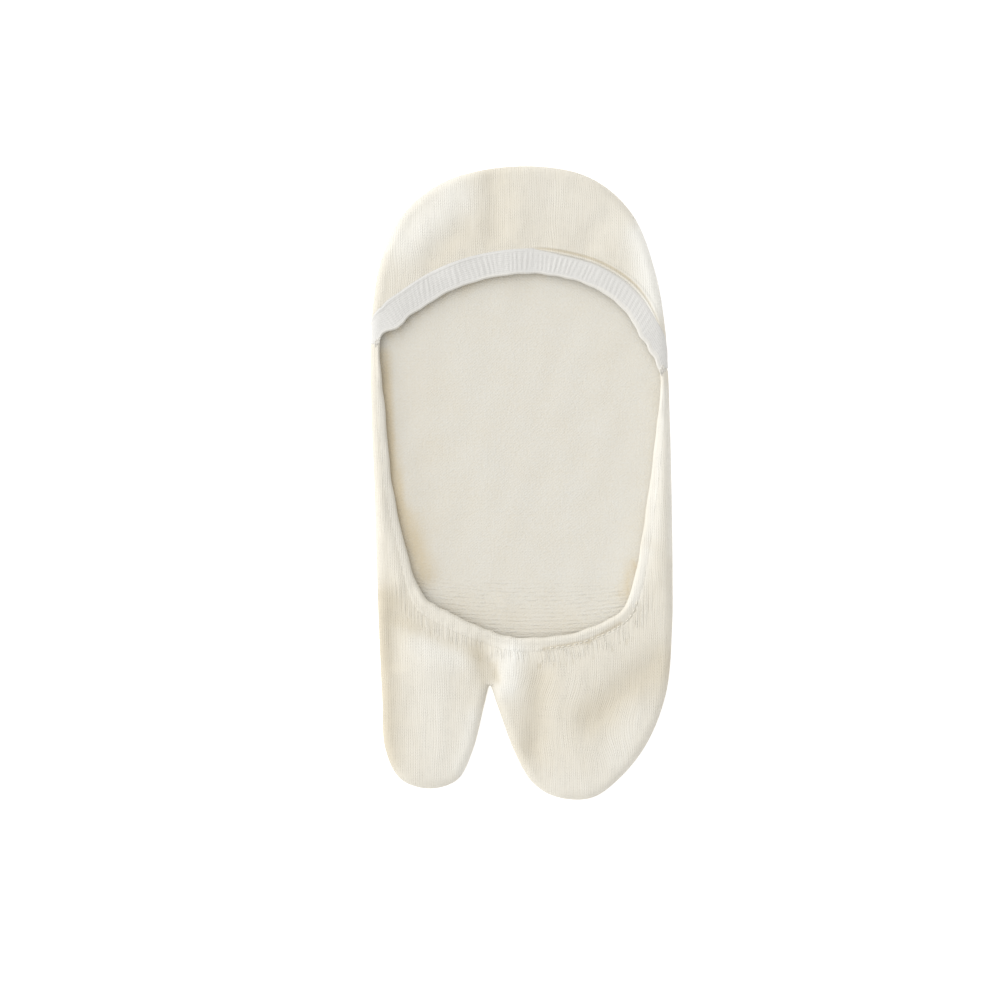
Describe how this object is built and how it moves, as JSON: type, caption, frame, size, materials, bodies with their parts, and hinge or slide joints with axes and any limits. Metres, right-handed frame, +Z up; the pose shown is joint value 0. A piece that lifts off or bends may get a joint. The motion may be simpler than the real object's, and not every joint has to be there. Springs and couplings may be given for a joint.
{
  "type": "no-show tabi sock",
  "caption": "Low-cut split-toe sock in ivory knit, laid flat with its opening up, with a turned hem and a ribbed elastic heel band.",
  "frame": {"origin": "on the ground under the middle of the sock's bounding box", "axes": "+Z up through the opening; +Y from the toes to the heel; +X from the big toe to the little toe"},
  "size_m": [0.0954, 0.2, 0.0056],
  "materials": {
    "ivory_knit": "matte fine-gauge cotton plain knit, purl side in, face out",
    "hem_knit": "the same knit turned under and stitched, matte",
    "ribbed_elastic": "white cross-ribbed elastic, soft sheen"
  },
  "bodies": {
    "root": {"sock_body": "ivory_knit", "opening_hem": "hem_knit", "heel_band": "ribbed_elastic"}
  },
  "joints": []
}
